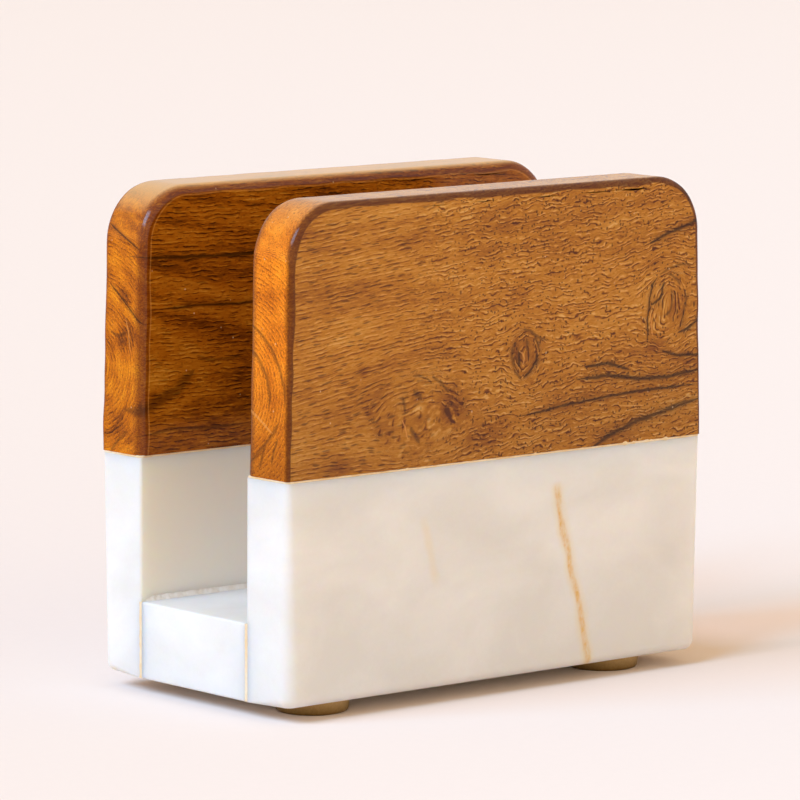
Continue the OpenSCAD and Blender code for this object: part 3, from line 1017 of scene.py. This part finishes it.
def studio_world(fill, horizon, backdrop):
    """Even light from all round: the fill's colour, plus the horizon's times (1 - sine of the height
    above the horizon) cubed. The camera, mirrors and glass see the backdrop's colour instead."""
    world = bpy.data.worlds.new("studio")
    world.use_nodes = True
    world.node_tree.nodes.clear()
    add = partial(add_node, world.node_tree)
    height = add("SeparateXYZ", add("TexCoord", out="Generated"), out="Z")
    low = add("Math.SUBTRACT", 1.0, height, use_clamp=True)
    light = add("VectorMath.MULTIPLY_ADD", add("Math.POWER", low, 3.0), horizon, fill)
    rays = add("LightPath").node.outputs
    seen = add("Math.MAXIMUM", rays["Is Camera Ray"], rays["Is Glossy Ray"])
    seen = add("Math.MAXIMUM", seen, rays["Is Transmission Ray"])
    colour = layered(add, light, (seen, (*backdrop, 1)))
    add("OutputWorld", {"Surface": add("Background", {"Color": colour, "Strength": 1.0})})
    return world


# ---------------------------------------------------------------- settings


def length(name, description, default, low, high):
    """A setting that is a length, with its default and limits in mm."""
    return FloatProperty(
        name=name, description=description, default=default * MM, min=low * MM, max=high * MM,
        subtype="DISTANCE", unit="LENGTH",
    )


def light_colour(name, description, default):
    """A setting that is a linear colour."""
    return FloatVectorProperty(
        name=name, description=description, default=default, size=3, min=0, max=1, subtype="COLOR"
    )


class NAPKIN_PG_panels(bpy.types.PropertyGroup):
    """Sizes of the wood panels"""

    corner_radius: length("Corner radius", "Radius of a panel's two top corners", 14.7, 6, 24)
    end_lean: length("End lean", "How far each end of a panel leans in on its way up", 1, 0, 3)
    edge_at_top: length("Top edge", "Radius of the outer edge round the top", 1.7, 1, 3)
    edge_at_joint: length("Joint edge", "Radius of the upright outer edges at the joint", 0.9, 0.5, 2)
    edge_at_slot: length("Slot edge", "Radius of the edge beside the slot", 2.3, 1, 3)
    mesh_step: length("Mesh step", "Distance between neighbouring points of a panel's faces", 0.65, 0.6, 4)
    edge_steps: IntProperty(
        name="Edge steps", description="Number of steps round an eased edge", default=7, min=3, max=12
    )


class NAPKIN_PG_stone(bpy.types.PropertyGroup):
    """Sizes of the marble pieces and of the joints between them and the wood"""

    edge_at_joint: length("Joint edge", "Radius of a slab's upright outer edges at the joint", 1.8, 1, 3)
    edge_at_foot: length("Foot edge", "Radius of a slab's upright outer edges at the bottom", 3.8, 2.6, 5)
    edge_under: length("Under edge", "Radius that eases a slab's bottom outer edges", 2.4, 1, 2.5)
    edge_at_slot: length("Slot edge", "Radius of a slab's upright edges beside the slot", 0.8, 0.4, 1.5)
    joint_corner: length(
        "Joint corner", "Radius of the adhesive layer's outer corners in the joint", 1.5, 0.5, 3
    )
    block_edge: length("Block edge", "Radius of the floor block's end edges", 0.5, 0.2, 1)


class NAPKIN_PG_feet(bpy.types.PropertyGroup):
    """Size of the foot pads' rims"""

    rim: length("Rim", "Radius of a pad's lower rim", 1, 0.4, 1.4)


class NAPKIN_PG_stage(bpy.types.PropertyGroup):
    """Lights, floor and backdrop"""

    floor_colour: light_colour("Floor", "Colour of the floor", linear("#f2e4de"))
    backdrop_colour: light_colour(
        "Backdrop", "Colour that the camera sees behind the floor", linear("#fcf2ee")
    )
    fill_colour: light_colour("Fill", "Colour of the even light from all round", (0.79, 0.605, 0.39))
    horizon_colour: light_colour(
        "Horizon", "Colour that the even light gains towards the horizon", (0.24, 0.3, 0.26)
    )
    key_colour: light_colour("Key", "Colour of the lamp at the left", (0.26, 0.63, 1.0))
    key_power: FloatProperty(name="Key power", description="Power of the lamp at the left", default=3700, min=0)
    core_colour: light_colour("Core", "Colour of the small lamp in the key's middle", (1.0, 0.4, 0.15))
    core_power: FloatProperty(name="Core power", description="Power of the small lamp", default=500, min=0)
    key_turn: FloatProperty(
        name="Key turn", description="Direction of both lamps, from the left towards the front",
        default=math.radians(0.5), subtype="ANGLE",
    )
    key_rise: FloatProperty(
        name="Key rise", description="Height of the lamp above the floor as an angle",
        default=math.radians(40), subtype="ANGLE",
    )


# ---------------------------------------------------------------- operators


class NAPKIN_OT_stage(bpy.types.Operator):
    """Makes the camera, the floor, the lamps and the world"""

    bl_idname = "napkin.stage"
    bl_label = "Stage"

    def execute(self, context):
        s = context.scene.napkin_stage
        lens_data = bpy.data.cameras.new("camera")
        lens_data.sensor_width = SENSOR
        lens_data.lens = LENS
        lens_data.clip_end = 100
        camera = bpy.data.objects.new("camera", lens_data)
        turn, tilt, roll = np.radians(CAMERA_ANGLES)
        ahead = np.array([math.sin(turn) * math.cos(tilt), math.cos(turn) * math.cos(tilt), -math.sin(tilt)])
        level = np.array([math.cos(turn), -math.sin(turn), 0])
        above = np.cross(level, ahead)
        right = math.cos(roll) * level + math.sin(roll) * above
        up = math.cos(roll) * above - math.sin(roll) * level
        turn_to(camera, (right, up, -ahead), CAMERA_PLACE)
        context.scene.camera = camera

        mesh = bpy.data.meshes.new("floor")
        square = [(x * FLOOR_HALF, y * FLOOR_HALF, 0) for x, y in ((-1, -1), (1, -1), (1, 1), (-1, 1))]
        mesh.from_pydata(square, [], [(0, 1, 2, 3)])
        floor = bpy.data.objects.new("floor", mesh)
        context.scene.collection.objects.link(floor)
        mesh.materials.append(paper_floor("floor paper", tuple(s.floor_colour)))

        left_lamp("key", s.key_colour, s.key_power, s.key_turn, s.key_rise, 20, 12)
        left_lamp("key core", s.core_colour, s.core_power, s.key_turn, s.key_rise, 6, 9)
        context.scene.world = studio_world(tuple(s.fill_colour), tuple(s.horizon_colour), s.backdrop_colour)
        context.scene.view_settings.view_transform = "Standard"
        return {"FINISHED"}


class NAPKIN_OT_panels(bpy.types.Operator):
    """Makes the two wood panels"""

    bl_idname = "napkin.panels"
    bl_label = "Wood panels"

    def execute(self, context):
        sizes = context.scene.napkin_panels
        for wall, log, tones, seed in (("front", FRONT_LOG, FRONT_TONES, 5), ("back", BACK_LOG, BACK_TONES, 8)):
            node = f"{wall}_wood_panel"
            points, faces, finish = on_wall(node, panel_surface, sizes, seed)
            fields = {**tree_fields(points, log), "finish": finish}
            material = lacquered_wood(f"lacquered rosewood {wall}", log, tones)
            make_piece(node, points, faces, material, fields)
        return {"FINISHED"}


class NAPKIN_OT_slabs(bpy.types.Operator):
    """Makes the two marble slabs"""

    bl_idname = "napkin.slabs"
    bl_label = "Marble slabs"

    def execute(self, context):
        for wall in ("front", "back"):
            node = f"{wall}_marble_slab"
            points, faces = on_wall(node, slab_surface, context.scene.napkin_stone)
            make_piece(node, points, faces, honed_marble(f"honed marble {wall}", wall))
        return {"FINISHED"}


class NAPKIN_OT_block(bpy.types.Operator):
    """Makes the marble block that is the slot's floor"""

    bl_idname = "napkin.block"
    bl_label = "Floor block"

    def execute(self, context):
        points, faces = block_surface(*corners("floor_block"), context.scene.napkin_stone.block_edge / MM)
        make_piece("floor_block", points, faces, honed_marble("honed marble block", "block"))
        return {"FINISHED"}


class NAPKIN_OT_joints(bpy.types.Operator):
    """Makes the adhesive layers and beads"""

    bl_idname = "napkin.joints"
    bl_label = "Adhesive"

    def execute(self, context):
        sizes = context.scene.napkin_stone
        cream = cured_adhesive("cured epoxy cream", "#fae8c8", "#f0cc94")
        amber = cured_adhesive("cured epoxy amber", "#f9e9d0", "#f3d4a8")
        clear = cured_adhesive("cured epoxy squeeze-out", "#f6f3ee", "#e8dfd2")
        for wall, seed in (("front", 20), ("back", 40)):
            for kind, material, surface, settings in (
                ("panel_joint", cream, panel_joint_surface, (sizes, seed)),
                ("floor_joint", amber, floor_joint_surface, (sizes.edge_at_slot / MM, seed + 5)),
                ("floor_bead", clear, bead_surface, (seed + 9,)),
            ):
                node = f"{kind}_{wall}"
                points, faces = on_wall(node, surface, *settings)
                make_piece(node, points, faces, material)
        return {"FINISHED"}


class NAPKIN_OT_feet(bpy.types.Operator):
    """Makes the four foot pads"""

    bl_idname = "napkin.feet"
    bl_label = "Feet"

    def execute(self, context):
        rim = context.scene.napkin_feet.rim / MM
        rubber = moulded_rubber("moulded polyurethane", "#80602c", "#ccaa6c")
        for node in sorted(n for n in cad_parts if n.startswith("foot_") and "glue" not in n):
            points, faces = foot_surface(*corners(node), rim)
            make_piece(node, points, faces, rubber)
        return {"FINISHED"}


class NAPKIN_OT_hidden(bpy.types.Operator):
    """Gives the dowels and the adhesive discs over the feet their materials"""

    bl_idname = "napkin.hidden"
    bl_label = "Hidden pieces"

    def execute(self, context):
        chosen = {
            "dowel": plain_beech("plain beech", "#dcb98a", "#b98a56"),
            "foot_glue": cured_adhesive("acrylic foam pad", "#e6dcc8", "#d8c8a8"),
        }
        for name, piece in sorted(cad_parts.items()):
            for start, material in chosen.items():
                if name.startswith(start):
                    piece.data.materials.clear()
                    piece.data.materials.append(material)
        return {"FINISHED"}


class NAPKIN_PT_tools(bpy.types.Panel):
    """Lists the pieces of the napkin holder"""

    bl_idname = "NAPKIN_PT_tools"
    bl_label = "Napkin holder"
    bl_space_type = "VIEW_3D"
    bl_region_type = "UI"
    bl_category = "Napkin holder"

    def draw(self, context):
        for operator in OPERATORS:
            self.layout.operator(operator.bl_idname)
        for settings in SETTINGS:
            box = self.layout.box()
            group = getattr(context.scene, settings)
            for name in group.bl_rna.properties.keys():
                if name not in ("rna_type", "name"):
                    box.prop(group, name)


OPERATORS = (
    NAPKIN_OT_stage, NAPKIN_OT_panels, NAPKIN_OT_slabs, NAPKIN_OT_block, NAPKIN_OT_joints, NAPKIN_OT_feet,
    NAPKIN_OT_hidden,
)
SETTINGS = {
    "napkin_panels": NAPKIN_PG_panels,
    "napkin_stone": NAPKIN_PG_stone,
    "napkin_feet": NAPKIN_PG_feet,
    "napkin_stage": NAPKIN_PG_stage,
}


def register():
    """Registers the classes and puts the settings on the scene."""
    for cls in (*SETTINGS.values(), *OPERATORS, NAPKIN_PT_tools):
        bpy.utils.register_class(cls)
    for name, group in SETTINGS.items():
        setattr(bpy.types.Scene, name, PointerProperty(type=group))


def unregister():
    """Takes the settings and the classes away again."""
    for name in SETTINGS:
        delattr(bpy.types.Scene, name)
    for cls in (NAPKIN_PT_tools, *reversed(OPERATORS), *reversed(tuple(SETTINGS.values()))):
        bpy.utils.unregister_class(cls)


def main():
    """Makes every piece and the stage."""
    register()
    bpy.ops.napkin.stage()
    bpy.ops.napkin.panels()
    bpy.ops.napkin.slabs()
    bpy.ops.napkin.block()
    bpy.ops.napkin.joints()
    bpy.ops.napkin.feet()
    bpy.ops.napkin.hidden()


if __name__ == "__main__":
    main()
